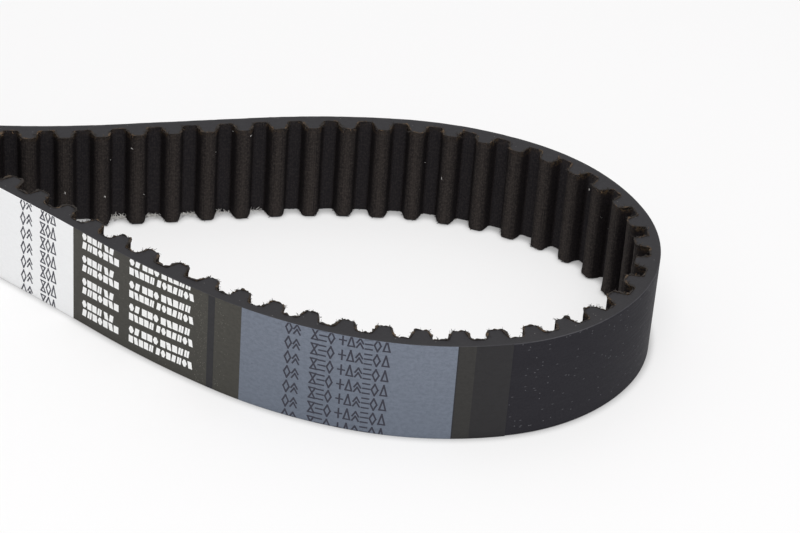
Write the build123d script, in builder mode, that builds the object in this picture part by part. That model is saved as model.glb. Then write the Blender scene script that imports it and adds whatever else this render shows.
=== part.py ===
from build123d import *
import os
from math import cos, radians, sin, tan

# An endless toothed timing belt that stands on its cut edge and is pinched at the middle, so that its loop
# has two round lobes and a narrow waist. Z is across the belt, and X runs along the loop's longer axis.
# The loop looks the same after half a turn about Z. The origin is on that axis, on the standing surface.
# Distances along the belt are counts of teeth on the pitch line, from the waist, with the teeth on the right.
# Depths are measured from the pitch line: positive towards the teeth, negative towards the smooth back.

# Belt, in millimetres and degrees
PITCH = 9.525
WIDTH = 28.6
LAND_DEPTH = 0.686
BACK_THICKNESS = 2.7
TOOTH_HEIGHT = 3.75
TIP_WIDTH = 3.0
FLANK_ANGLE = 20.0
TIP_RADIUS = 0.65
ROOT_RADIUS = 1.0
FABRIC = 0.25
CORD_PLY = 0.7
CORD_MARGIN = 1.0
LABEL_THICKNESS = 0.1

# Loop: the turn over each stretch of 4 teeth along one half of it, from one side of the waist to the other
STRETCH_TEETH = 4
STRETCH_TURNS = (9.3, -0.3, -11.6, -25.6, -41.3, -54.1, -43.1, -26.0, -19.4, -8.9, 2.5, 38.5)
START_HEADING = 13.74

# Sections that flex about hinge lines on the pitch line. The hinges of one half take these shares of the
# waist's own angle, which sum to nothing, so the loop stays closed. Section 11 is cut through its middle.
SECTION_TEETH = 8
HINGE_SHARES = (1.0, 0.25, -0.5, -0.85, -0.2, 0.3)
HINGE_TRAVEL = 25.0
HINGE_SPARE = 2.0
HINGE_GAP = 0.04
CUT_SECTION = 11

# Printed transfer labels across the back, from one count of teeth to another
LABELS = {
    "brown_film": (28.15, 29.1),
    "olive_film": (29.1, 29.56),
    "grey_label_right": (29.56, 32),
    "grey_label_left": (32, 35.22),
    "print_film_right": (35.22, 40),
    "print_film_left": (40, 40.82),
    "white_label": (40.82, 46.35),
}

BACK_DEPTH = LAND_DEPTH - BACK_THICKNESS
TIP_DEPTH = LAND_DEPTH + TOOTH_HEIGHT
CORE_DEPTH = LAND_DEPTH - FABRIC
STRETCH_LENGTH = STRETCH_TEETH * PITCH
HALF_TEETH = STRETCH_TEETH * len(STRETCH_TURNS)
SECTION_COUNT = 2 * HALF_TEETH // SECTION_TEETH
MARGIN = 1.0


def step(point, heading, length, turn):
    """The point and heading at the end of an arc."""
    half = radians(turn) / 2
    chord = length * sin(half) / half if half else length
    return point + Vector(chord, 0, 0).rotate(Axis.Z, heading + turn / 2), heading + turn


def stretch_starts():
    """The point and heading where each stretch of the first half starts."""
    starts = [(Vector(0, 0, 0), START_HEADING)]
    for turn in STRETCH_TURNS:
        starts.append(step(*starts[-1], STRETCH_LENGTH, turn))
    centre = starts[-1][0] * 0.5
    return [(point - centre, heading) for point, heading in starts]


STARTS = stretch_starts()


def heading_at(count):
    """The belt's heading at this count of teeth."""
    half, along = divmod(count, HALF_TEETH)
    index = int(along // STRETCH_TEETH)
    share = along / STRETCH_TEETH - index
    return STARTS[index][1] + STRETCH_TURNS[index] * share + 180 * half


def at(count, depth=0.0):
    """The point at this count of teeth and this depth."""
    half, along = divmod(count, HALF_TEETH)
    index = int(along // STRETCH_TEETH)
    share = along / STRETCH_TEETH - index
    start, heading = STARTS[index]
    point, heading = step(start, heading, STRETCH_LENGTH * share, STRETCH_TURNS[index] * share)
    return (point + Vector(0, -depth, 0).rotate(Axis.Z, heading)).rotate(Axis.Z, 180 * half)


def beside(count, ahead, depth):
    """The point this far ahead of a count of teeth, straight along its tangent, at this depth."""
    return at(count, depth) + Vector(ahead, 0, 0).rotate(Axis.Z, heading_at(count))


def arcs(first, last, depth):
    """The belt's line at this depth, with one arc for each stretch that it crosses."""
    low, high = sorted((first, last))
    joins = [STRETCH_TEETH * i for i in range(2 * len(STRETCH_TURNS)) if low < STRETCH_TEETH * i < high]
    ends = sorted([low, high, *joins], reverse=first > last)
    for start, end in zip(ends, ends[1:]):
        ThreePointArc(at(start, depth), at((start + end) / 2, depth), at(end, depth))


def band(first, last, far, near):
    """The belt's plan between two depths."""
    with BuildSketch(mode=Mode.PRIVATE) as strip:
        with BuildLine():
            arcs(first, last, far)
            Line(at(last, far), at(last, near))
            arcs(last, first, near)
            Line(at(first, near), at(first, far))
        make_face()
    return strip.sketch


def tooth(count, skin):
    """The plan of a tooth under a skin of this thickness, reaching down to the pitch line."""
    flank = radians(FLANK_ANGLE)
    top = TIP_DEPTH - skin
    tip = TIP_WIDTH / 2 + skin * (tan(flank) - 1 / cos(flank))
    base = tip + top * tan(flank)
    with BuildSketch(mode=Mode.PRIVATE) as outline:
        with BuildLine():
            corners = ((-base, 0), (-tip, top), (tip, top), (base, 0))
            Polyline(*[beside(count, ahead, depth) for ahead, depth in corners], close=True)
        make_face()
    return outline.sketch


def teeth_between(first, last):
    """The counts at the middle of each tooth between two lands."""
    return [count + 0.5 for count in range(first, last)]


def relief(count):
    """The clearance at one end of a section: a gap that widens on the side that closes as the hinge bends."""
    if count % SECTION_TEETH:
        share = 0
    else:
        share = HINGE_SHARES[count // SECTION_TEETH % len(HINGE_SHARES)]
    back_angle = radians(max(-share, 0) * HINGE_TRAVEL + HINGE_SPARE) / 2
    tooth_angle = radians(max(share, 0) * HINGE_TRAVEL + HINGE_SPARE) / 2
    back, front = BACK_DEPTH - MARGIN, TIP_DEPTH + MARGIN
    waist = HINGE_GAP / 2
    at_back = waist - back * tan(back_angle)
    at_front = waist + front * tan(tooth_angle)
    right = ((at_back, back), (waist, 0), (at_front, front))
    left = [(-ahead, depth) for ahead, depth in reversed(right)]
    with BuildSketch(mode=Mode.PRIVATE) as gap:
        with BuildLine():
            Polyline(*[beside(count, ahead, depth) for ahead, depth in (*right, *left)], close=True)
        make_face()
    return gap.sketch


def clear_ends(first, last):
    """Cuts the clearance at both ends out of the section being built."""
    for count in (first, last):
        extrude(relief(count), amount=WIDTH, mode=Mode.SUBTRACT)


def make_cords(number, first, last):
    with BuildPart() as tension_cords:
        extrude(band(first, last, -CORD_PLY / 2, CORD_PLY / 2), amount=WIDTH - CORD_MARGIN)
        extrude(band(first, last, -CORD_PLY / 2, CORD_PLY / 2), amount=CORD_MARGIN, mode=Mode.SUBTRACT)
        clear_ends(first, last)
    write(tension_cords.part, f"tension_cords_{number}")
    return tension_cords.part


def make_back(number, first, last, cords):
    with BuildPart() as rubber_back:
        extrude(band(first, last, BACK_DEPTH, CORE_DEPTH), amount=WIDTH)
        clear_ends(first, last)
        add(cords, mode=Mode.SUBTRACT)
    write(rubber_back.part, f"rubber_back_{number}")


def make_teeth(number, first, last):
    with BuildPart() as rubber_teeth:
        for count in teeth_between(first, last):
            with BuildSketch() as core:
                add(tooth(count, FABRIC))
                tips = core.vertices().sort_by_distance(at(count, TIP_DEPTH))[:2]
                fillet(tips, TIP_RADIUS - FABRIC)
            extrude(amount=WIDTH)
        extrude(band(first, last, BACK_DEPTH, CORE_DEPTH), amount=WIDTH, mode=Mode.SUBTRACT)
    write(rubber_teeth.part, f"rubber_teeth_{number}")
    return rubber_teeth.part


def make_fabric(number, first, last, teeth):
    with BuildPart() as tooth_fabric:
        with BuildSketch() as surface:
            add(band(first, last, BACK_DEPTH, LAND_DEPTH))
            for count in teeth_between(first, last):
                add(tooth(count, 0))
            for count in teeth_between(first, last):
                fillet(surface.vertices().sort_by_distance(at(count, TIP_DEPTH))[:2], TIP_RADIUS)
                fillet(surface.vertices().sort_by_distance(at(count, LAND_DEPTH))[:2], ROOT_RADIUS)
        extrude(amount=WIDTH)
        extrude(band(first, last, BACK_DEPTH, CORE_DEPTH), amount=WIDTH, mode=Mode.SUBTRACT)
        add(teeth, mode=Mode.SUBTRACT)
        clear_ends(first, last)
    write(tooth_fabric.part, f"tooth_fabric_{number}")


def make_label(name, first, last):
    with BuildPart() as label:
        extrude(band(first, last, BACK_DEPTH - LABEL_THICKNESS, BACK_DEPTH), amount=WIDTH)
        for count in (first, last):
            if count % SECTION_TEETH == 0:
                extrude(relief(count), amount=WIDTH, mode=Mode.SUBTRACT)
    write(label.part, name)


def write(part, name):
    part.label = name
    export_step(part, f"parts/{name}.step")


def section_spans():
    """Each section's number with its first and last count of teeth."""
    for index in range(SECTION_COUNT):
        number, first = index + 1, index * SECTION_TEETH
        last = first + SECTION_TEETH
        if number == CUT_SECTION:
            middle = first + SECTION_TEETH // 2
            yield f"{number:02d}a", first, middle
            yield f"{number:02d}b", middle, last
        else:
            yield f"{number:02d}", first, last


os.makedirs("parts", exist_ok=True)
for number, first, last in section_spans():
    cords = make_cords(number, first, last)
    make_back(number, first, last, cords)
    teeth = make_teeth(number, first, last)
    make_fabric(number, first, last, teeth)
for name, (first, last) in LABELS.items():
    make_label(name, first, last)
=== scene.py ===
"""An endless toothed timing belt, standing on its cut edge and pinched at the middle into two lobes.

Places on the belt are counts of teeth along its pitch line, from the waist, with the teeth on the right.
Depths are measured from that line: positive towards the teeth, negative towards the smooth back.
Every layer is made in one piece for each hinge of the belt, from the middle of the section before the
hinge to the middle of the section after it, so that neighbouring pieces meet.
"""
import math

import bpy
import numpy as np
from mathutils import Matrix, Vector


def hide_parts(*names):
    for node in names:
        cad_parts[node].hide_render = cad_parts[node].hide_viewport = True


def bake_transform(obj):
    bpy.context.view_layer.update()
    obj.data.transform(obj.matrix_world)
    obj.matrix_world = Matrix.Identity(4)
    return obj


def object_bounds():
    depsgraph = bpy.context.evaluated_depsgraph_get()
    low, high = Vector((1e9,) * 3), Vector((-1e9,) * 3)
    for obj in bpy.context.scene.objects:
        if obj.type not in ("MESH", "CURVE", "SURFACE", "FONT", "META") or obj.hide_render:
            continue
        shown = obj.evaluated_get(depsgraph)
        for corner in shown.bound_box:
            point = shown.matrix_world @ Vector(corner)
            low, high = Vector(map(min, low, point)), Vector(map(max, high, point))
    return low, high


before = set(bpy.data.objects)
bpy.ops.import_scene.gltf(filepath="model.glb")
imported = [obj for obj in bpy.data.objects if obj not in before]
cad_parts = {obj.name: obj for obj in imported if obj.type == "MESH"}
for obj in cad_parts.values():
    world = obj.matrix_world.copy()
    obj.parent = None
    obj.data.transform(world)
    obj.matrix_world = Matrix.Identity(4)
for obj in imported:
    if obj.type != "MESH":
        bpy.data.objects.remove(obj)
cad_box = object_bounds()

MM = 0.001

# Belt
PITCH = 9.525 * MM
WIDTH = cad_box[1].z - cad_box[0].z
LAND_DEPTH = 0.686 * MM
BACK_DEPTH = LAND_DEPTH - 2.7 * MM
TIP_DEPTH = LAND_DEPTH + 3.75 * MM
TIP_WIDTH = 3.0 * MM
FLANK_ANGLE = math.radians(20)
TIP_RADIUS = 0.65 * MM
ROOT_RADIUS = 1.0 * MM
FABRIC = 0.25 * MM
LABEL_THICKNESS = 0.1 * MM
CORD_RADIUS = 0.35 * MM
CORD_STRANDS = 3
CORD_TWIST = 1.6 * MM
CORD_COUNT = 19
CORD_SPACING = WIDTH / (CORD_COUNT + 1)

# Loop: the turn over each stretch of 4 teeth along one half of it
STRETCH_TEETH = 4
STRETCH_LENGTH = STRETCH_TEETH * PITCH
STRETCH_TURNS = np.radians((9.3, -0.3, -11.6, -25.6, -41.3, -54.1, -43.1, -26.0, -19.4, -8.9, 2.5, 38.5))
START_HEADING = math.radians(13.74)
HALF_TEETH = STRETCH_TEETH * len(STRETCH_TURNS)
TEETH = 2 * HALF_TEETH

# Hinges: one every 8 teeth, with the body before it and the body after it
HINGE_TEETH = 8
BEFORE = ("section_12", "section_01", "section_02", "section_03", "section_04", "section_05",
          "section_06", "section_07", "section_08", "section_09", "section_10", "section_11b")
AFTER = ("section_01", "section_02", "section_03", "section_04", "section_05", "section_06",
         "section_07", "section_08", "section_09", "section_10", "section_11a", "section_12")

# The middle of section 11, where the ring of sections is open: two bodies meet there with no joint
OPEN_COUNT = 84
OPEN_GAP = 0.04 * MM

# The stretch each side of a tooth's middle that doesn't bend, and where it gives way to the belt's curve
STIFF_REACH = 2.6 * MM
STIFF_END = 4.2 * MM

# Printed labels on the back: first and last count of teeth
LABELS = {
    "brown_film": (28.15, 29.1),
    "olive_film": (29.1, 29.56),
    "grey_label_right": (29.56, 32),
    "grey_label_left": (32, 35.22),
    "print_film_right": (35.22, 40),
    "print_film_left": (40, 40.82),
    "white_label": (40.82, 46.35),
}


# ---------------------------------------------------------------- the belt's line

def stretch_starts():
    """The point and heading where each stretch of the first half starts, about the loop's centre."""
    point, heading = np.zeros(2), START_HEADING
    starts = []
    for turn in STRETCH_TURNS:
        starts.append((*point, heading))
        chord = STRETCH_LENGTH * np.sinc(turn / 2 / np.pi)
        facing = heading + turn / 2
        point = point + chord * np.array((np.cos(facing), np.sin(facing)))
        heading += turn
    return np.array(starts) - (*(point / 2), 0)


STARTS = stretch_starts()


def along(count):
    """Points on the pitch line and headings at these counts of teeth."""
    count = np.mod(np.asarray(count, float), TEETH)
    half = np.floor(count / HALF_TEETH)
    rest = count - half * HALF_TEETH
    index = np.minimum((rest / STRETCH_TEETH).astype(int), len(STRETCH_TURNS) - 1)
    share = rest / STRETCH_TEETH - index
    turn = STRETCH_TURNS[index] * share
    chord = STRETCH_LENGTH * share * np.sinc(turn / 2 / np.pi)
    facing = STARTS[index, 2] + turn / 2
    point = STARTS[index, :2] + chord[..., None] * np.stack((np.cos(facing), np.sin(facing)), -1)
    return point * (1 - 2 * half)[..., None], STARTS[index, 2] + turn + np.pi * half


def ease(value, low, high):
    """0 below low, 1 above high, smooth between."""
    t = np.clip((value - low) / (high - low), 0, 1)
    return t * t * (3 - 2 * t)


def place(middle, ahead, depth, height):
    """Points this far ahead of a count of teeth, at these depths and heights. Near the middle of a tooth
    they lie straight along its own tangent, because the teeth don't bend; elsewhere along the belt's line."""
    middle, ahead, depth, height = np.broadcast_arrays(middle, ahead, depth, height)
    point, heading = along(middle + ahead / PITCH)
    curved = point + depth[..., None] * np.stack((np.sin(heading), -np.cos(heading)), -1)
    point, heading = along(middle)
    tangent = np.stack((np.cos(heading), np.sin(heading)), -1)
    normal = np.stack((np.sin(heading), -np.cos(heading)), -1)
    straight = point + ahead[..., None] * tangent + depth[..., None] * normal
    stiff = (1 - ease(np.abs(ahead), STIFF_REACH, STIFF_END)) * ease(depth, 0, LAND_DEPTH)
    plan = curved + stiff[..., None] * (straight - curved)
    return np.concatenate((plan, height[..., None]), -1)


def half_outline():
    """From the middle of a tooth's tip to the middle of the land beside it: distances along the outline,
    with the ahead, the depth and the angle of the outward normal at each."""
    turn = np.pi / 2 - FLANK_ANGLE
    tip_reach = TIP_RADIUS * math.tan(turn / 2)
    root_reach = ROOT_RADIUS * math.tan(turn / 2)
    tip_centre = (TIP_WIDTH / 2 - tip_reach, TIP_DEPTH - TIP_RADIUS)
    foot = TIP_WIDTH / 2 + (TIP_DEPTH - LAND_DEPTH) * math.tan(FLANK_ANGLE)
    root_centre = (foot + root_reach, LAND_DEPTH + ROOT_RADIUS)
    fine = np.linspace(0, 1, 60)
    falling = np.pi / 2 - turn * fine
    points = [(0, TIP_DEPTH, np.pi / 2)]
    points += [(tip_centre[0] + TIP_RADIUS * math.cos(a), tip_centre[1] + TIP_RADIUS * math.sin(a), a)
               for a in falling]
    points += [(root_centre[0] - ROOT_RADIUS * math.cos(a), root_centre[1] - ROOT_RADIUS * math.sin(a), a)
               for a in falling[::-1]]
    points.append((PITCH / 2, LAND_DEPTH, np.pi / 2))
    points = np.array(points)
    distance = np.concatenate(([0], np.cumsum(np.hypot(*np.diff(points[:, :2], axis=0).T))))
    return distance, *points.T


OUTLINE = half_outline()
OUTLINE_HALF = OUTLINE[0][-1]
OUTLINE_ROUND = TEETH * 2 * OUTLINE_HALF
OUTLINE_STEPS = 46


def tooth_side(first, skin=0.0):
    """The outline of the tooth side over one piece's teeth, under a skin of this thickness: the count at
    the middle of each point's tooth, its ahead, depth and normal, and its distance along the outline."""
    index = np.arange(HINGE_TEETH * OUTLINE_STEPS + 1)
    tooth = np.minimum(index // OUTLINE_STEPS, HINGE_TEETH - 1)
    local = (index - tooth * OUTLINE_STEPS) / OUTLINE_STEPS * 2 * OUTLINE_HALF - OUTLINE_HALF
    side = np.where(local < 0, -1.0, 1.0)
    distance, ahead, depth, angle = OUTLINE
    reach = np.abs(local)
    angles = np.interp(reach, distance, angle)
    normal = np.stack((side * np.cos(angles), np.sin(angles)), -1)
    aheads = side * np.interp(reach, distance, ahead) - skin * normal[:, 0]
    depths = np.interp(reach, distance, depth) - skin * normal[:, 1]
    run = (first + tooth) * 2 * OUTLINE_HALF + local + OUTLINE_HALF
    if first == OPEN_COUNT:
        aheads[0] += OPEN_GAP / 2
    if first + HINGE_TEETH == OPEN_COUNT:
        aheads[-1] -= OPEN_GAP / 2
    return first + tooth + 0.5, aheads, depths, normal, run


# ---------------------------------------------------------------- irregularity

def lumps(run, across, size, seed):
    """Smooth random values from -1 to 1 that change over this size. They repeat once round the belt."""
    columns = round(OUTLINE_ROUND / size)
    rows = math.ceil(2 * WIDTH / size)
    lattice = np.random.default_rng(seed).uniform(-1, 1, (columns, rows))
    u = np.mod(run / OUTLINE_ROUND, 1) * columns
    v = np.clip(across / size + 1, 0, rows - 1.001)
    i, j = np.floor(u).astype(int), np.floor(v).astype(int)
    du, dv = ease(u - i, 0, 1), ease(v - j, 0, 1)
    i, k = i % columns, (i + 1) % columns
    low = lattice[i, j] * (1 - du) + lattice[k, j] * du
    high = lattice[i, j + 1] * (1 - du) + lattice[k, j + 1] * du
    return low * (1 - dv) + high * dv


# ---------------------------------------------------------------- meshes

class Mesh:
    """Closed solids gathered into one mesh, with a map of distances along and across the belt."""

    def __init__(self):
        self.points, self.sides, self.maps, self.slots = [], [], [], []
        self.total = 0

    def add(self, points, polygons, maps, slots):
        """Points, blocks of polygons as indices of the points, and for each block the map place of every
        corner and the material slot of every polygon."""
        self.points.append(points.reshape(-1, 3))
        self.sides += [block + self.total for block in polygons]
        self.maps += maps
        self.slots += slots
        self.total += len(self.points[-1])

    def sweep(self, parts):
        """A closed solid along the belt. Each part is one side of its section, in order round it: points
        by row and column, the distance along and across at each, and its material slot."""
        points = np.concatenate([part[0][:, :-1] for part in parts], axis=1)
        maps = [np.stack([np.broadcast_to(values, part[0].shape[:2]) for values in part[1:3]], -1)
                for part in parts]
        starts = np.concatenate([places[:, :-1] for places in maps], axis=1)
        ends = np.concatenate([places[:, 1:] for places in maps], axis=1)
        slots = np.concatenate([np.full(part[0].shape[1] - 1, part[3]) for part in parts])
        rows, around = points.shape[:2]
        index = np.arange(rows * around).reshape(rows, around)
        beyond = np.roll(index, -1, axis=1)
        quads = np.stack((index[:-1], beyond[:-1], beyond[1:], index[1:]), -1).reshape(-1, 4)
        quad_places = np.stack((starts[:-1], ends[:-1], ends[1:], starts[1:]), -2).reshape(-1, 4, 2)
        caps = np.stack((index[0][::-1], index[-1]))
        cap_places = np.stack((starts[0][::-1], starts[-1]))
        self.add(points, [quads, caps], [quad_places, cap_places],
                 [np.tile(slots, rows - 1), np.zeros(2, int)])

    def make(self, name, *materials, smooth=math.radians(42)):
        """The finished object, smooth but for edges sharper than this angle."""
        mesh = bpy.data.meshes.new(name)
        points = np.concatenate(self.points)
        lengths = np.concatenate([np.full(len(block), block.shape[1]) for block in self.sides])
        corners = np.concatenate([block.ravel() for block in self.sides])
        mesh.vertices.add(len(points))
        mesh.vertices.foreach_set("co", points.astype(np.float32).ravel())
        mesh.loops.add(len(corners))
        mesh.loops.foreach_set("vertex_index", corners.astype(np.int32))
        mesh.polygons.add(len(lengths))
        mesh.polygons.foreach_set("loop_start", (np.cumsum(lengths) - lengths).astype(np.int32))
        mesh.polygons.foreach_set("material_index", np.concatenate(self.slots).astype(np.int32))
        layer = mesh.uv_layers.new(name="belt")
        places = np.concatenate([block.reshape(-1, 2) for block in self.maps])
        layer.data.foreach_set("uv", places.astype(np.float32).ravel())
        mesh.update(calc_edges=True)
        mesh.validate()
        mesh.shade_smooth()
        mesh.set_sharp_from_angle(angle=smooth)
        for material in materials:
            mesh.materials.append(material)
        made = bpy.data.objects.new(name, mesh)
        bpy.context.scene.collection.objects.link(made)
        return made


def bend(piece):
    """Bakes a piece's placement into its mesh, and returns the piece."""
    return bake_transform(piece)


def hinge_span(hinge):
    """The first and last count of teeth of the pieces about this hinge."""
    middle = hinge * HINGE_TEETH
    return middle - HINGE_TEETH / 2, middle + HINGE_TEETH / 2


# ---------------------------------------------------------------- materials

class Nodes:
    """A short way to write a material's nodes. Lengths in a pattern are in millimetres."""

    def __init__(self, name):
        self.material = bpy.data.materials.new(name)
        self.material.use_nodes = True
        self.tree = self.material.node_tree
        self.shader = self.tree.nodes["Principled BSDF"]

    def add(self, kind, inputs=None, output=0, **settings):
        """A new node's output, with these inputs linked or set."""
        made = self.tree.nodes.new("ShaderNode" + kind)
        for name, value in settings.items():
            setattr(made, name, value)
        for name, value in (inputs or {}).items():
            self.put(made.inputs[name], value)
        return made.outputs[output]

    def put(self, socket, value):
        """Links another node's output to an input, or sets the input to a plain value."""
        if isinstance(value, bpy.types.NodeSocket):
            self.tree.links.new(value, socket)
        else:
            socket.default_value = value

    def set(self, **values):
        """Sets or links the shader's inputs, with _ for each space in their names."""
        for name, value in values.items():
            self.put(self.shader.inputs[name.replace("_", " ")], value)

    def place(self, along=1.0, across=1.0):
        """Millimetres along and across the belt, stretched by these factors."""
        uv = self.add("UVMap", uv_map="belt")
        scale = (along / MM, across / MM, 1)
        return self.add("VectorMath", {0: uv, 1: scale}, operation="MULTIPLY")

    def space(self):
        """Millimetres in the object's own space."""
        where = self.add("TexCoord", output=3)
        return self.add("VectorMath", {0: where, 1: (1 / MM, 1 / MM, 1 / MM)}, operation="MULTIPLY")

    def noise(self, where, size, detail=3.0, rough=0.55):
        """Cloudy values about 0.5, with lumps of this size."""
        return self.add("TexNoise", {"Vector": where, "Scale": 1 / size, "Detail": detail,
                                     "Roughness": rough})

    def wave(self, where, period, direction, distortion, detail=1.0):
        """A smooth wave from 0 to 1 of this period."""
        return self.add("TexWave", {"Vector": where, "Scale": math.pi / 10 / period, "Detail": detail,
                                    "Distortion": distortion}, output=1, bands_direction=direction)

    def math(self, operation, a, b=0.0):
        """A sum or another operation on one or two values."""
        return self.add("Math", {0: a, 1: b}, operation=operation)

    def span(self, value, low, high, start=0.0, end=1.0):
        """The value's range from low to high, as one from start to end."""
        return self.add("MapRange", {"Value": value, "From Min": low, "From Max": high,
                                     "To Min": start, "To Max": end}, interpolation_type="SMOOTHSTEP")

    def mix(self, share, a, b):
        """Colour a where the share is 0, colour b where it is 1."""
        made = self.tree.nodes.new("ShaderNodeMix")
        made.data_type = "RGBA"
        self.put(made.inputs[0], share)
        for socket, value in ((made.inputs[6], a), (made.inputs[7], b)):
            self.put(socket, value if isinstance(value, bpy.types.NodeSocket) else (*value, 1))
        return made.outputs[2]

    def bump(self, height, distance, under=None):
        """A bump this many millimetres high, over another one."""
        inputs = {"Height": height, "Distance": distance * MM}
        if under is not None:
            inputs["Normal"] = under
        return self.add("Bump", inputs)

    def specks(self, where, spacing, size, share):
        """1 inside round specks of this size, in this share of cells of this spacing."""
        cells = self.tree.nodes.new("ShaderNodeTexVoronoi")
        cells.voronoi_dimensions = "2D"
        self.put(cells.inputs["Vector"], where)
        cells.inputs["Scale"].default_value = 1 / spacing
        chance = self.add("SeparateColor", {"Color": cells.outputs["Color"]})
        chosen = self.span(chance, 1 - share, 1 - share + 0.02)
        near = self.span(cells.outputs["Distance"], size / spacing, 0.5 * size / spacing)
        return self.math("MULTIPLY", chosen, near)


def moulded_rubber():
    """The smooth back: near-black satin rubber, with faint grain, scuffs, light dust and a painted highlight
    along its top corner.
    """
    n = Nodes("moulded_rubber")
    where = n.place()
    tone = n.noise(n.place(0.3, 1), 4, 4)
    base = n.mix(tone, (0.0215, 0.0207, 0.0250), (0.0305, 0.0295, 0.0345))
    scuffs = n.specks(n.place(0.55, 1.2), 1.5, 0.22, 0.16)
    dust = n.specks(where, 1.9, 0.2, 0.1)
    marks = n.math("MAXIMUM", n.math("MULTIPLY", scuffs, 0.4), n.math("MULTIPLY", dust, 0.7))
    base = n.mix(marks, base, (0.16, 0.16, 0.175))
    worn = n.noise(n.place(0.8, 1), 0.5, 4, 0.75)
    base = n.mix(n.span(worn, 0.35, 0.7, 0.45, 0), base, (0.014, 0.013, 0.017))
    grain = n.noise(where, 0.16, 3, 0.6)
    streaks = n.noise(n.place(0.12, 1.6), 0.7, 4, 0.6)
    normal = n.bump(grain, 0.012)
    normal = n.bump(streaks, 0.005, under=normal)
    # Painted highlight: the back is lighter along its top corner, where the chamfer catches the light.
    across = n.add("SeparateXYZ", {"Vector": where}, output=1)
    edge = n.span(across, WIDTH / MM - 0.3, WIDTH / MM - 0.15)
    painted_highlight_rim = n.math("MULTIPLY", edge, n.span(tone, 0.3, 0.6, 0.3, 0.8))
    base = n.mix(painted_highlight_rim, base, (0.075, 0.074, 0.080))
    n.set(Base_Color=base, Roughness=n.span(streaks, 0.3, 0.7, 0.5, 0.62), Normal=normal,
          Specular_IOR_Level=0.045)
    return n.material


def cut_rubber():
    """The belt's cut edge: dark grey, matt, with fine marks of the blade along it."""
    n = Nodes("cut_rubber")
    where = n.place()
    cloud = n.noise(where, 1.6, 4)
    blade = n.noise(n.place(0.12, 3.2), 0.5, 4, 0.65)
    base = n.mix(cloud, (0.0178, 0.0172, 0.0192), (0.0280, 0.0266, 0.0292))
    base = n.mix(n.span(blade, 0.55, 0.75, 0, 0.35), base, (0.045, 0.043, 0.045))
    dust = n.specks(where, 1.4, 0.14, 0.05)
    base = n.mix(n.math("MULTIPLY", dust, 0.5), base, (0.3, 0.29, 0.28))
    normal = n.bump(n.noise(where, 0.22, 3, 0.6), 0.02)
    normal = n.bump(blade, 0.03, under=normal)
    n.set(Base_Color=base, Roughness=n.span(cloud, 0.3, 0.7, 0.5, 0.66), Normal=normal,
          Specular_IOR_Level=0.3)
    return n.material


def weave(n):
    """The height of the facing's yarns: uneven ribs across the belt and wefts along it, blurred by wear."""
    ribs = n.wave(n.place(), 0.62, "X", 2.2, 3)
    wefts = n.wave(n.place(), 0.5, "Y", 3.0, 3)
    crossed = n.math("MULTIPLY", ribs, wefts)
    mottle = n.span(n.noise(n.place(1, 0.8), 0.6, 3, 0.75), 0.36, 0.64)
    return n.math("ADD", n.math("MULTIPLY", crossed, 0.35), n.math("MULTIPLY", mottle, 0.65))


def nylon_facing():
    """The woven facing over the teeth: brownish black and matt, with a painted highlight on the middle of the
    tips, painted shade on the flanks, bluish black lands, and brown yarn bared beside the cut."""
    n = Nodes("nylon_facing")
    yarns = weave(n)
    place = n.add("UVMap", uv_map="belt")
    run = n.add("SeparateXYZ", {"Vector": place})
    across = n.add("SeparateXYZ", {"Vector": place}, output=1)
    turn = n.math("SUBTRACT", n.math("FRACT", n.math("DIVIDE", run, 2 * OUTLINE_HALF)), 0.5)
    from_tip = n.math("MULTIPLY", n.math("ABSOLUTE", turn), 2 * OUTLINE_HALF / MM)
    flank = n.math("MULTIPLY", n.span(from_tip, 0.9, 3.2), n.span(from_tip, 6.1, 4.9))
    ribs = n.noise(n.place(1, 0.06), 0.55, 3, 0.6)
    cloud = n.noise(n.place(0.5, 0.3), 2.5, 4, 0.6)
    base = n.mix(cloud, (0.0112, 0.0088, 0.0088), (0.0215, 0.0172, 0.0158))
    base = n.mix(n.span(ribs, 0.35, 0.6, 0.5, 0), base, (0.0050, 0.0042, 0.0046))
    base = n.mix(n.span(yarns, 0.2, 0.85, 0, 0.62), base, (0.050, 0.041, 0.037))
    # Painted highlight: the middle of each tip is lighter.
    base = n.mix(n.span(from_tip, 1.1, 0.2, 0, 0.22), base, (0.052, 0.043, 0.038))
    # Painted shade: the flanks are darkened, as where they are seen at a glancing angle.
    base = n.mix(n.math("MULTIPLY", flank, 0.7), base, (0.0056, 0.0046, 0.0058))
    base = n.mix(n.span(from_tip, 5.0, 5.9, 0, 0.45), base, (0.0160, 0.0154, 0.0198))
    patches = n.span(n.noise(n.place(), 1.1, 3, 0.7), 0.42, 0.62)
    bared = n.math("MULTIPLY", patches, n.span(across, WIDTH - 2.2 * MM, WIDTH - 0.4 * MM))
    bared = n.math("MULTIPLY", bared, n.span(flank, 0, 1, 0.2, 1))
    base = n.mix(bared, base, (0.062, 0.042, 0.025))
    fluff = n.specks(n.place(), 2.6, 0.2, 0.012)
    base = n.mix(n.math("MULTIPLY", fluff, 0.5), base, (0.35, 0.33, 0.3))
    normal = n.bump(yarns, 0.11)
    n.set(Base_Color=base, Roughness=0.95, Normal=normal, Specular_IOR_Level=n.span(flank, 0, 1, 0.16, 0.06))
    return n.material


def facing_edge():
    """The facing's raw edge: brown ends of yarn."""
    n = Nodes("facing_edge")
    where = n.space()
    ends = n.noise(where, 0.3, 3, 0.7)
    patches = n.span(n.noise(where, 2.6, 3, 0.6), 0.49, 0.62)
    bared = n.math("MULTIPLY", n.span(ends, 0.35, 0.65), patches)
    base = n.mix(bared, (0.019, 0.015, 0.012), (0.125, 0.078, 0.040))
    n.set(Base_Color=base, Roughness=0.9, Normal=n.bump(ends, 0.08))
    return n.material


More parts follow.
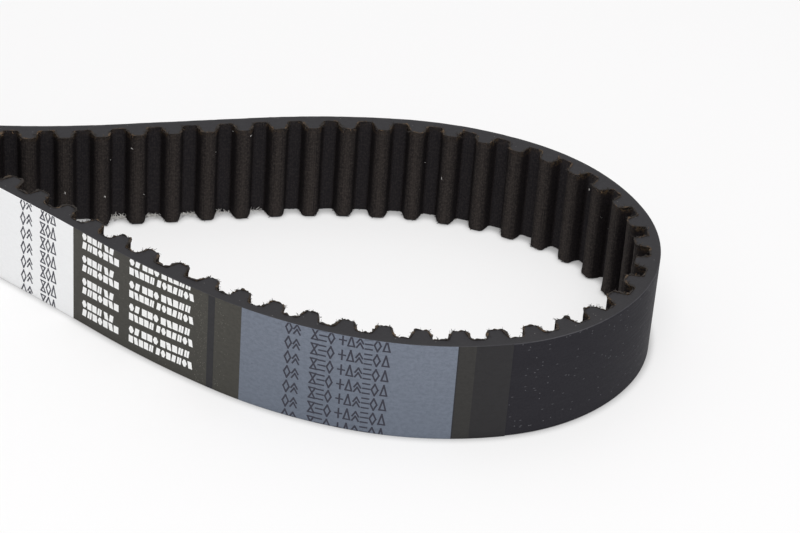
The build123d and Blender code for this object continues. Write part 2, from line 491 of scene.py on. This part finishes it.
def yarn_ends():
    """Loose brown ends of yarn."""
    n = Nodes("yarn_ends")
    tint = n.noise(n.space(), 1.8, 2)
    base = n.mix(n.span(tint, 0.52, 0.74), (0.018, 0.014, 0.011), (0.18, 0.105, 0.048))
    n.set(Base_Color=base, Roughness=0.75)
    return n.material


def pale_lint():
    """Pale fluff that clings to the facing."""
    n = Nodes("pale_lint")
    tint = n.noise(n.space(), 0.5, 2)
    n.set(Base_Color=n.mix(tint, (0.55, 0.53, 0.5), (0.85, 0.84, 0.82)), Roughness=0.9)
    return n.material


def glass_cord():
    """Twisted glass-fibre cord in its brown rubber adhesive."""
    n = Nodes("glass_cord")
    strands = n.wave(n.place(), 0.9, "DIAGONAL", 0.4)
    base = n.mix(strands, (0.16, 0.12, 0.08), (0.42, 0.36, 0.27))
    n.set(Base_Color=base, Roughness=0.55)
    return n.material


def film(name, low, high, roughness, mottle=0.35):
    """A printed transfer film that has taken the grain of the rubber under it."""
    n = Nodes(name)
    where = n.place()
    cloud = n.math("MULTIPLY", n.noise(n.place(0.6, 1), 2.2, 4), 0.4)
    across = n.add("SeparateXYZ", {"Vector": n.add("UVMap", uv_map="belt")}, output=1)
    base = n.mix(n.math("ADD", cloud, n.span(across, 0, WIDTH, 0, 0.6)), low, high)
    grain = n.noise(where, 0.3, 3, 0.65)
    fine = n.noise(n.place(0.7, 1), 0.9, 5, 0.8)
    base = n.mix(n.span(fine, 0.36, 0.62, 1.3 * mottle, 0), base, tuple(0.6 * c for c in low))
    worn = n.span(grain, 0.62, 0.75, 0, mottle)
    base = n.mix(worn, base, tuple(0.6 * c for c in low))
    flecks = n.specks(where, 2.2, 0.26, 0.06)
    base = n.mix(n.math("MULTIPLY", flecks, mottle), base, tuple(0.35 * c for c in low))
    shine = n.span(cloud, 0.1, 0.3, roughness - 0.05, roughness + 0.05)
    n.set(Base_Color=base, Roughness=shine, Normal=n.bump(grain, 0.012), Specular_IOR_Level=0.3)
    return n.material


def ink(name, colour):
    """Printing ink, slightly uneven."""
    n = Nodes(name)
    patch = n.noise(n.place(), 0.35, 2)
    worn = tuple(0.82 * c for c in colour)
    n.set(Base_Color=n.mix(patch, worn, colour), Roughness=0.5, Normal=n.bump(patch, 0.008))
    return n.material


# ---------------------------------------------------------------- the belt's layers

# The least height above the standing surface of anything frayed or ragged, the rounding between the back
# and the cut edges, and the depth of the blade's slow waves in them
LIFT = 0.01 * MM
CORNER = 0.16 * MM
CUT_WAVE = 0.03 * MM


def facing_shift(run, height):
    """How far the facing's outer surface stands out from its plain outline, in metres."""
    near_edge = 0.6 + ease(np.abs(height - WIDTH / 2), WIDTH / 2 - 2.5 * MM, WIDTH / 2)
    uneven = 0.12 * MM * lumps(run, height, 2.2 * MM, 11) + 0.05 * MM * lumps(run, height, 0.9 * MM, 12)
    from_tip = np.abs(np.mod(run / (2 * OUTLINE_HALF), 1) - 0.5) * 2 * OUTLINE_HALF
    swell = ease(from_tip, 1.2 * MM, 2.2 * MM) * (1 - ease(from_tip, 3.8 * MM, 5.2 * MM))
    corner = ease(from_tip, 0.7 * MM, 1.4 * MM) * (1 - ease(from_tip, 1.5 * MM, 2.3 * MM))
    return np.maximum(uneven * near_edge + 0.19 * MM * swell - 0.12 * MM * corner, -0.2 * MM)


def facing_piece(hinge, materials):
    """The woven facing about one hinge."""
    first = hinge_span(hinge)[0]
    middle, ahead, depth, normal, run = tooth_side(first)
    inner = [values[:, None] for values in tooth_side(first, FABRIC)[:3]]
    ragged = 0.13 * MM * lumps(run, 0.0, 0.45 * MM, 21) + 0.14 * MM * lumps(run, 0.0, 1.3 * MM, 22)
    middle, ahead, depth, run, ragged = (values[:, None] for values in (middle, ahead, depth, run, ragged))
    top = WIDTH + 0.12 * MM + ragged
    foot = np.maximum(0.3 * MM + 1.4 * ragged, LIFT)
    height = foot + (top - foot) * np.linspace(0, WIDTH, 98) / WIDTH
    edge = ease(np.abs(height - WIDTH / 2), WIDTH / 2 - 0.35 * MM, WIDTH / 2)
    shift = facing_shift(run, height) + edge * (1.4 * ragged + 0.05 * MM)
    outer = place(middle, ahead + shift * normal[:, :1], depth + shift * normal[:, 1:], height)
    inner_top, inner_foot = place(*inner, top), place(*inner, foot)
    thickness = np.array([[0, FABRIC]])
    made = Mesh()
    made.sweep([
        (outer, run, height, 0),
        (np.concatenate((outer[:, -1:], inner_top), 1), run, thickness, 1),
        (np.concatenate((inner_top, inner_foot), 1), run, np.array([[WIDTH, 0]]), 0),
        (np.concatenate((inner_foot, outer[:, :1]), 1), run, thickness, 1),
    ])
    piece = made.make(f"nylon_facing_{hinge + 1:02d}", *materials, smooth=math.radians(60))
    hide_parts(*[f"tooth_fabric_{name}" for name in stood_for(hinge)])
    return bend(piece)


def stood_for(hinge):
    """The sections whose CAD nodes the pieces about this hinge stand for."""
    names = [AFTER[hinge]]
    if AFTER[hinge] == "section_12":
        names.append("section_11b")
    return [name.removeprefix("section_") for name in names]


def body_piece(hinge, materials):
    """The rubber of the back and the teeth about one hinge, with its cut edges."""
    first = hinge_span(hinge)[0]
    middle, ahead, depth, _, run = tooth_side(first, FABRIC)
    middle, ahead, depth, run = (values[:, None] for values in (middle, ahead, depth, run))
    station = (middle + ahead / PITCH) * PITCH
    heights = np.linspace(CORNER, WIDTH - CORNER, 40)[None]

    def edge(level, order):
        """Across a cut edge, from the teeth to the back in order 1 or the other way in order -1, with a
        slight wave in it that stays above the standing surface."""
        deep = BACK_DEPTH + CORNER + (depth - BACK_DEPTH - CORNER) * (1 - np.linspace(0, 1, 7)[::order])
        wave = CUT_WAVE * lumps(run, deep + 4 * MM, 2.4 * MM, 31)
        return place(middle, ahead, deep, level - wave if level else np.abs(wave)), deep

    top, top_deep = edge(WIDTH - CUT_WAVE, 1)
    foot, foot_deep = edge(0, -1)
    side = np.concatenate((foot[:, -1:], top[:, :1]), 1)
    slope = np.concatenate((top[:, -1:], place(middle, ahead, BACK_DEPTH, heights[:, -1:])), 1)
    back = place(middle, ahead, BACK_DEPTH, heights[:, ::-1])
    ramp = np.concatenate((back[:, -1:], foot[:, :1]), 1)
    made = Mesh()
    made.sweep([
        (side, station, np.array([[0, WIDTH]]), 0),
        (top, station, top_deep, 0),
        (slope, station, np.array([[WIDTH, WIDTH - CORNER]]), 1),
        (back, station, heights[:, ::-1], 1),
        (ramp, station, np.array([[CORNER, 0]]), 1),
        (foot, station, foot_deep, 0),
    ])
    piece = made.make(f"rubber_body_{hinge + 1:02d}", *materials, smooth=math.radians(50))
    for kind in ("rubber_back", "rubber_teeth"):
        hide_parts(*[f"{kind}_{name}" for name in stood_for(hinge)])
    return bend(piece)


def cord_piece(hinge, material):
    """The twisted tension cords inside the belt about one hinge."""
    first, last = hinge_span(hinge)
    inset = OPEN_GAP / 2 / PITCH
    count = np.linspace(first, last, 96)[:, None]
    count[0] += inset
    count[-1] -= inset
    distance = count * PITCH
    turns = np.linspace(0, 2 * np.pi, 10)[None]
    radius = CORD_RADIUS * (0.93 + 0.07 * np.cos(CORD_STRANDS * turns + distance / CORD_TWIST))
    made = Mesh()
    for row in range(CORD_COUNT):
        height = CORD_SPACING * (row + 1) + radius * np.cos(turns)
        points = place(count, 0.0, radius * np.sin(turns), height)
        made.sweep([(points, distance, turns * CORD_RADIUS, 0)])
    piece = made.make(f"glass_cords_{hinge + 1:02d}", material)
    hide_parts(*[f"tension_cords_{name}" for name in stood_for(hinge)])
    return bend(piece)


def make_layers():
    """The rubber, the facing and the cords, all round the belt."""
    body = (cut_rubber(), moulded_rubber())
    facing = (nylon_facing(), facing_edge())
    cord = glass_cord()
    for hinge in range(len(BEFORE)):
        body_piece(hinge, body)
        facing_piece(hinge, facing)
        cord_piece(hinge, cord)


# ---------------------------------------------------------------- labels

def label_hinge(count):
    """The hinge whose pieces cover this count of teeth."""
    return int((count + HINGE_TEETH / 2) // HINGE_TEETH) % len(BEFORE)


def spans_by_hinge(first, last):
    """A stretch of the belt, split where the pieces about one hinge end and the next ones start."""
    middle = HINGE_TEETH / 2
    joins = [middle + HINGE_TEETH * hinge for hinge in range(len(BEFORE))]
    ends = [first, *[join for join in joins if first < join < last], last]
    return list(zip(ends, ends[1:]))


def label_piece(name, first, last, number, material, slot):
    """A stretch of printed film on the back."""
    count = np.linspace(first, last, max(3, round((last - first) * 24)))[:, None]
    distance = count * PITCH
    inset = 0.05 * MM
    heights = np.linspace(inset, WIDTH - inset, 29)[None]
    skin = BACK_DEPTH - LABEL_THICKNESS + 0.004 * MM * lumps(distance, heights, 1.5 * MM, 41)
    outer = place(count, 0.0, skin, heights)
    inner = place(count, 0.0, BACK_DEPTH, heights[:, [-1, 0]])
    made = Mesh()
    made.sweep([
        (outer, distance, heights, 0),
        (np.concatenate((outer[:, -1:], inner[:, :1]), 1), distance, np.array([[WIDTH, WIDTH]]), 0),
        (inner, distance, np.array([[WIDTH, 0]]), 0),
        (np.concatenate((inner[:, -1:], outer[:, :1]), 1), distance, np.array([[0, 0]]), 0),
    ])
    piece = made.make(f"{name}_{number}", material)
    if number == 1:
        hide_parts(name)
    return bend(piece)


def make_labels():
    """The printed films on the back, from the right lobe to the waist."""
    white = film("white_transfer", (0.87, 0.875, 0.88), (0.90, 0.905, 0.91), 0.45, 0.05)
    grey = film("grey_transfer", (0.120, 0.142, 0.183), (0.164, 0.187, 0.235), 0.45, 0.3)
    dark = film("dark_transfer", (0.0365, 0.0345, 0.0278), (0.0540, 0.0508, 0.0416), 0.5)
    olive = film("olive_transfer", (0.019, 0.018, 0.0165), (0.028, 0.026, 0.024), 0.5)
    brown = film("brown_transfer", (0.0098, 0.0088, 0.0103), (0.0133, 0.0122, 0.0141), 0.48)
    finishes = {
        "brown_film": (brown, "dark_film"),
        "olive_film": (olive, "dark_film"),
        "grey_label_right": (grey, "grey_film"),
        "grey_label_left": (grey, "grey_film"),
        "print_film_right": (dark, "dark_film"),
        "print_film_left": (dark, "dark_film"),
        "white_label": (white, "white_film"),
    }
    for name, (first, last) in LABELS.items():
        for number, (start, end) in enumerate(spans_by_hinge(first, last), 1):
            label_piece(name, start, end, number, *finishes[name])


# ---------------------------------------------------------------- printed marks

# The bare margin at the film's edges, and the least area of a mark that is cut off there
INK_MARGIN = 0.08 * MM
INK_LEAST = 0.02 * MM ** 2
INK_THICKNESS = 0.012 * MM
INK_DEPTH = BACK_DEPTH - LABEL_THICKNESS - 0.006 * MM


class Print:
    """Marks of one ink, gathered by the hinge whose pieces cover them."""

    def __init__(self, name, material, slot):
        self.name, self.material, self.slot = name, material, slot
        self.meshes = {}

    def patch(self, corners):
        """A flat mark with these corners: counts of teeth and heights. It is cut off at the film's edges."""
        corners = np.array(corners, float)
        for edge, side in ((INK_MARGIN, 1), (WIDTH - INK_MARGIN, -1)):
            kept = []
            for here, beyond in zip(corners, np.roll(corners, -1, axis=0)):
                inside, next_inside = side * (here[1] - edge) >= 0, side * (beyond[1] - edge) >= 0
                if inside:
                    kept.append(here)
                if inside != next_inside:
                    kept.append(here + (beyond - here) * (edge - here[1]) / (beyond[1] - here[1]))
            if len(kept) < 3:
                return
            corners = np.array(kept)
        x, y = corners.T
        area = np.dot(x, np.roll(y, -1)) - np.dot(y, np.roll(x, -1))
        if abs(area) * PITCH < INK_LEAST:
            return
        corners = corners[::int(np.sign(area))]
        number = len(corners)
        layers = [place(corners[:, 0], 0.0, level, corners[:, 1])
                  for level in (INK_DEPTH, INK_DEPTH - INK_THICKNESS)]
        ring = np.arange(number)
        beyond = np.roll(ring, -1)
        faces = np.stack((ring, ring[::-1] + number))
        sides = np.stack((ring + number, beyond + number, beyond, ring), -1)
        places = np.concatenate((corners * (PITCH, 1),) * 2)
        mesh = self.meshes.setdefault(label_hinge(corners[:, 0].mean()), Mesh())
        mesh.add(np.concatenate(layers), [faces, sides], [places[faces], places[sides]],
                 [np.zeros(2, int), np.zeros(number, int)])

    def shape(self, first, top, width, height, corners):
        """A mark of these corners in a cell, from 0 to 1 across to the right and up."""
        u, v = np.array(corners).T
        self.patch(np.stack((first - u * width, top - (1 - v) * height), -1))

    def stroke(self, first, top, width, height, ends, pen):
        """A straight pen stroke between two places in a cell."""
        u, v = np.array(ends).T
        line = np.stack((-u * width * PITCH, (v - 1) * height), -1)
        ahead = (line[1] - line[0]) / np.linalg.norm(line[1] - line[0]) * pen / 2
        aside = np.array((-ahead[1], ahead[0]))
        corners = np.stack((line[0] - ahead - aside, line[1] + ahead - aside,
                            line[1] + ahead + aside, line[0] - ahead + aside))
        self.patch(corners * (1 / PITCH, 1) + (first, top))

    def make(self):
        """One piece for each hinge that has marks."""
        for hinge, mesh in sorted(self.meshes.items()):
            piece = mesh.make(f"{self.name}_{hinge + 1:02d}", self.material)
            bend(piece)


# A fleck's corners in its cell
FLECK = ((0, 0.5), (0.5, 0), (1, 0.5), (0.5, 1))

# Solid marks, each a few convex shapes in a cell
BLOCK = (((0.03, 0), (0.97, 0), (0.97, 1), (0.03, 1)),)
LOZENGE = (((0, 0.5), (0.3, 0), (0.7, 0), (1, 0.5), (0.7, 1), (0.3, 1)),)
LEANING = (((0, 0), (0.78, 0), (1, 1), (0.22, 1)),)
TIPPED = (((0.22, 0), (1, 0), (0.78, 1), (0, 1)),)
SLANTS = (((0, 0), (0.38, 0), (0.56, 1), (0.18, 1)), ((0.46, 0), (0.84, 0), (1, 1), (0.64, 1)))
SOLIDS = (BLOCK, LOZENGE, SLANTS, BLOCK, LEANING, TIPPED)

# Outlined marks, each a few strokes in a cell
RHOMB = (((0.5, 0), (1, 0.5)), ((1, 0.5), (0.5, 1)), ((0.5, 1), (0, 0.5)), ((0, 0.5), (0.5, 0)))
DELTA = (((0, 0.1), (1, 0.1)), ((1, 0.1), (0.5, 1)), ((0.5, 1), (0, 0.1)))
CROSS = (((0.5, 0.1), (0.5, 0.9)), ((0, 0.5), (1, 0.5)))
RUNGS = (((0, 0.08), (1, 0.08)), ((0, 0.5), (1, 0.5)), ((0, 0.92), (1, 0.92)))
ROOFS = (((0, 0.1), (0.5, 0.5)), ((0.5, 0.5), (1, 0.1)), ((0, 0.5), (0.5, 0.9)), ((0.5, 0.9), (1, 0.5)))
TIMER = (((0, 0.05), (1, 0.05)), ((1, 0.05), (0, 0.95)), ((0, 0.95), (1, 0.95)), ((1, 0.95), (0, 0.05)))


# Lines of solid marks: their height, and the gaps between marks and between groups, in teeth
LINE_HEIGHT = 2.15 * MM
LINE_GAP = 0.018
LINE_SPACE = 0.07

# Outlined marks: their width in teeth
OUTLINE_WIDTH = 0.165


def solid_line(marks, first, last, top, groups, rise, seed):
    """A line of solid marks in groups, from one count of teeth back to another, which is from left to
    right as seen from outside. It rises this much on the way."""
    kinds = np.random.default_rng(seed).permutation(np.arange(sum(groups)) % len(SOLIDS))
    room = first - last - LINE_SPACE * (len(groups) - 1) - LINE_GAP * (sum(groups) - len(groups))
    width = room / sum(groups)
    cursor, taken = first, 0
    for group in groups:
        for _ in range(group):
            level = top + rise * (first - cursor) / (first - last)
            for corners in SOLIDS[kinds[taken]]:
                marks.shape(cursor, level, width, LINE_HEIGHT, corners)
            taken += 1
            cursor -= width + LINE_GAP
        cursor += LINE_GAP - LINE_SPACE


def film_marks():
    """Pairs of white lines on the dark film, four times across the belt, with a bare stripe beside them, a
    thin painted shadow line at the grey label's end, and pale flecks on the film about the first."""
    marks = Print("white_print", ink("white_ink", (0.97, 0.97, 0.96)), "white_film")
    repeat = 7.03 * MM
    for row in range(4):
        top = WIDTH + 0.15 * MM - repeat * row
        solid_line(marks, 40.49, 39.33, top, (4, 2), 0.1 * MM, 51)
        solid_line(marks, 40.49, 39.15, top - 2.8 * MM, (7,), 0.3 * MM, 52)
        solid_line(marks, 38.79, 36.76, top + 0.1 * MM, (2, 3, 5), 0.85 * MM, 53)
        solid_line(marks, 38.79, 36.66, top - 2.85 * MM, (5, 7), 0.7 * MM, 54)
    marks.make()
    bare = film("bare_film_and_painted_shadow", (0.012, 0.0115, 0.0145), (0.017, 0.0165, 0.0195), 0.5)
    stripe = Print("bare_stripe_and_painted_shadow", bare, "dark_film")
    # The first stripe is bare film; the second, at the grey label's end, is a painted shadow line along that
    # edge.
    for first, last in ((36.01, 36.215), (29.53, 29.56)):
        stripe.patch(((first, 0), (last, 0), (last, WIDTH), (first, WIDTH)))
    stripe.make()
    flecks = Print("film_flecks", ink("fleck_ink", (0.15, 0.142, 0.118)), "dark_film")
    chance = np.random.default_rng(55)
    for centre, spread, number in ((36.45, 0.09, 200), (35.85, 0.14, 100), (38.2, 1.2, 130)):
        for _ in range(number):
            count = np.clip(chance.normal(centre, spread), 35.3, 40.7)
            if 35.98 < count < 36.24:
                continue
            size = chance.uniform(0.10, 0.22) * MM
            flecks.shape(count, chance.uniform(0.02, 0.98) * WIDTH, size / PITCH, size, FLECK)
    flecks.make()


def grey_marks():
    """Rows of small outlined marks on the grey label, all the same, like a coded stamp."""
    marks = Print("stamp_print", ink("stamp_ink", (0.014, 0.014, 0.030)), "dark_film")
    cells = ((33.975, RHOMB), (33.755, ROOFS), (33.275, TIMER), (33.065, RUNGS), (32.845, RHOMB),
             (32.545, CROSS), (32.325, DELTA), (32.1, ROOFS), (31.875, RUNGS), (31.655, RHOMB),
             (31.425, DELTA))
    for row in range(7):
        top = WIDTH + 0.3 * MM - 4.52 * MM * row
        for first, kind in cells:
            for ends in kind:
                marks.stroke(first, top, OUTLINE_WIDTH, 3.5 * MM, ends, 0.43 * MM)
    marks.make()


def white_marks():
    """Two groups of columns of thin dark marks on the white label."""
    marks = Print("stroke_print", ink("dark_ink", (0.045, 0.045, 0.065)), "dark_film")
    columns = ((42.775, 0.0, RHOMB), (42.545, 0.55, ROOFS), (42.045, 0.1, TIMER), (41.845, 0.1, RHOMB),
               (41.65, 0.1, DELTA))
    for row in range(7):
        top = WIDTH + 0.7 * MM - 4.55 * MM * row
        for first, rise, kind in columns:
            for ends in kind:
                marks.stroke(first, top + rise * MM, OUTLINE_WIDTH, 3.7 * MM, ends, 0.42 * MM)
    marks.make()


# ---------------------------------------------------------------- frayed yarn and lint

# Loose ends of yarn for each tooth, at the top edge and at the foot, and the straight steps in a hair
FRAY_TOP = 72
FRAY_FOOT = 34
HAIR_STEPS = 5


def hair(made, root, aim, length, radius, chance, slot=0):
    """A curling end of yarn: a thin tube of three sides from a root, first along aim."""
    heading = aim / np.linalg.norm(aim)
    point = root.copy()
    line, headings = [point.copy()], [heading.copy()]
    curl = chance.normal(0, 0.45, 3)
    for _ in range(HAIR_STEPS):
        heading = heading + curl + chance.normal(0, 0.25, 3)
        heading /= np.linalg.norm(heading)
        point = point + heading * length / HAIR_STEPS
        line.append(point.copy())
        headings.append(heading.copy())
    line, headings = np.array(line), np.array(headings)
    side = np.cross(headings, (0.31, 0.55, 0.77))
    side /= np.linalg.norm(side, axis=1)[:, None]
    other = np.cross(headings, side)
    thick = radius * np.linspace(1, 0.45, HAIR_STEPS + 1)
    turns = np.array((0, 2, 4, 6)) * np.pi / 3
    ring = (np.cos(turns)[None, :, None] * side[:, None] + np.sin(turns)[None, :, None] * other[:, None])
    points = line[:, None] + thick[:, None, None] * ring
    points[..., 2] = np.maximum(points[..., 2], LIFT)
    distance = np.linspace(0, length, HAIR_STEPS + 1)[:, None]
    made.sweep([(points, distance, turns[None] * radius, slot)])


def fray_piece(hinge, materials):
    """Loose ends of yarn along both edges of the facing, most of them on the flanks, and a little lint on
    its face."""
    first = hinge_span(hinge)[0]
    middle, ahead, depth, normal, _ = tooth_side(first, FABRIC / 2)
    chance = np.random.default_rng(600 + hinge)
    made = Mesh()
    spots = np.arange(len(middle) - 1)
    steep = np.abs(normal[:-1, 0])
    weight = 0.25 + steep
    weight /= weight.sum()
    for level, number, longest in ((WIDTH, FRAY_TOP, 1.3 * MM), (0.15 * MM, FRAY_FOOT, 0.8 * MM)):
        for spot in chance.choice(spots, number * HINGE_TEETH, p=weight):
            root = place(middle[spot], ahead[spot], depth[spot], level - 0.05 * MM)
            tip = place(middle[spot], ahead[spot] + normal[spot, 0] * MM,
                        depth[spot] + normal[spot, 1] * MM, level - 0.05 * MM)
            rise = chance.uniform(-0.5, 0.9) if level > MM else chance.uniform(0, 0.6)
            aim = (tip - root) / MM * chance.uniform(0.1, 1.2) + np.array((0, 0, rise))
            aim = aim + chance.normal(0, 0.5, 3)
            length = longest * chance.uniform(0.3, 1.0) ** 2
            hair(made, root, aim, length, chance.uniform(0.05, 0.12) * MM, chance)
    for spot in chance.choice(spots, 5):
        root = place(middle[spot], ahead[spot] + 0.2 * MM * normal[spot, 0],
                     depth[spot] + 0.2 * MM * normal[spot, 1], chance.uniform(0.06, 0.97) * WIDTH)
        for _ in range(3):
            aim = chance.normal(0, 1, 3)
            hair(made, root, aim, 0.45 * MM * chance.uniform(0.6, 1.2), 0.06 * MM, chance, 1)
    piece = made.make(f"frayed_yarn_{hinge + 1:02d}", *materials)
    return bend(piece)


def fluff_piece(first, last, material):
    """Wisps of pale fluff caught at the foot of the lands between two counts of teeth."""
    chance = np.random.default_rng(700)
    made = Mesh()
    for land in range(first, last):
        number = round(110 / (1 + 0.9 * (land - first)))
        for _ in range(number):
            ahead = chance.uniform(-2.2, 2.2) * MM
            root = place(land, ahead, LAND_DEPTH + 0.1 * MM, chance.uniform(0.05, 0.6) * MM)
            point, heading = along(land)
            tangent = np.array((np.cos(heading), np.sin(heading), 0)) * chance.choice((-1, 1))
            inward = np.array((np.sin(heading), -np.cos(heading), 0))
            aim = 0.7 * tangent + 0.6 * inward + chance.normal(0, 0.5, 3)
            length = chance.uniform(0.6, 2.3) * MM
            hair(made, root, aim, length, chance.uniform(0.06, 0.12) * MM, chance)
    piece = made.make("pale_fluff", material)
    return bend(piece)


def make_fray():
    """Frayed yarn all round the belt, and pale fluff where the left span meets the floor."""
    materials = (yarn_ends(), pale_lint())
    for hinge in range(len(BEFORE)):
        fray_piece(hinge, materials)
    fluff_piece(4, 9, materials[1])


# ---------------------------------------------------------------- stage, light and camera

CAMERA_PLACE = (0.2366, -0.6102, 0.4522)
CAMERA_HEADING = math.radians(99.83)
CAMERA_TILT = math.radians(35.23)
CAMERA_ROLL = math.radians(-4.40)
CAMERA_LENS = 131.43
CAMERA_SENSOR = 36

FLOOR_REACH = 4.0
FLOOR_DROP = 0.05 * MM


def make_camera():
    """A long lens from above the front, rolled slightly."""
    data = bpy.data.cameras.new("camera")
    data.lens = CAMERA_LENS
    data.sensor_width = CAMERA_SENSOR
    data.clip_start, data.clip_end = 0.01, 30
    camera = bpy.data.objects.new("camera", data)
    bpy.context.scene.collection.objects.link(camera)
    forward = Vector((math.cos(CAMERA_HEADING) * math.cos(CAMERA_TILT),
                      math.sin(CAMERA_HEADING) * math.cos(CAMERA_TILT), -math.sin(CAMERA_TILT)))
    level = Vector((math.sin(CAMERA_HEADING), -math.cos(CAMERA_HEADING), 0))
    upright = level.cross(forward)
    right = level * math.cos(CAMERA_ROLL) - upright * math.sin(CAMERA_ROLL)
    up = level * math.sin(CAMERA_ROLL) + upright * math.cos(CAMERA_ROLL)
    turn = Matrix((right, up, -forward)).transposed().to_4x4()
    camera.matrix_world = Matrix.Translation(CAMERA_PLACE) @ turn
    bpy.context.scene.camera = camera


def make_floor():
    """A pale floor that glows a little, like a light table, except in a thin line along the belt's foot,
    where the dimmed glow is a painted contact shadow.
    """
    n = Nodes("pale_floor")
    tone = n.noise(n.add("TexCoord", output=3), 0.4, 2)
    # Painted contact shadow: ambient occlusion dims the floor's glow near the belt.
    near = n.add("AmbientOcclusion", {"Distance": 3.5 * MM}, output=1, samples=16)
    n.set(Base_Color=n.mix(tone, (0.375, 0.373, 0.373), (0.39, 0.388, 0.388)), Roughness=0.6,
          Specular_IOR_Level=0.2, Emission_Color=(1, 0.996, 0.996, 1),
          Emission_Strength=n.span(near, 0.4, 0.9, 0.16, 0.525))
    rings, sides = 24, 64
    points = [(0, 0, 0)]
    for ring in range(1, rings + 1):
        radius = FLOOR_REACH * (ring / rings) ** 2
        points += [(radius * math.cos(2 * math.pi * k / sides), radius * math.sin(2 * math.pi * k / sides), 0)
                   for k in range(sides)]
    faces = [(0, 1 + k, 1 + (k + 1) % sides) for k in range(sides)]
    for ring in range(rings - 1):
        base = 1 + ring * sides
        faces += [(base + k, base + sides + k, base + sides + (k + 1) % sides, base + (k + 1) % sides)
                  for k in range(sides)]
    mesh = bpy.data.meshes.new("floor")
    mesh.from_pydata(points, [], faces)
    mesh.materials.append(n.material)
    floor = bpy.data.objects.new("floor", mesh)
    floor.location.z = -FLOOR_DROP
    bpy.context.scene.collection.objects.link(floor)


def area_light(name, spot, aim, size, power):
    """A rectangular light at a spot, facing its aim."""
    data = bpy.data.lights.new(name, "AREA")
    data.shape = "RECTANGLE"
    data.size, data.size_y = size
    data.energy = power
    light = bpy.data.objects.new(name, data)
    bpy.context.scene.collection.objects.link(light)
    turn = (Vector(aim) - Vector(spot)).to_track_quat("-Z", "Y")
    light.matrix_world = Matrix.Translation(spot) @ turn.to_matrix().to_4x4()


def make_light():
    """A bright tent all round, with a large soft box above the front and another overhead."""
    world = bpy.data.worlds.new("tent")
    world.use_nodes = True
    background = world.node_tree.nodes["Background"]
    background.inputs["Color"].default_value = (0.99, 0.99, 1, 1)
    background.inputs["Strength"].default_value = 0.58
    bpy.context.scene.world = world
    area_light("key", (0.32, -0.57, 1.13), (0.05, 0, 0), (0.9, 0.9), 11.5)
    area_light("overhead", (0.0, 0.2, 1.4), (0.05, 0, 0), (1.2, 1.0), 1.8)
    bpy.context.scene.view_settings.view_transform = "Standard"


make_camera()
make_floor()
make_light()
make_layers()
make_labels()
film_marks()
grey_marks()
white_marks()
make_fray()
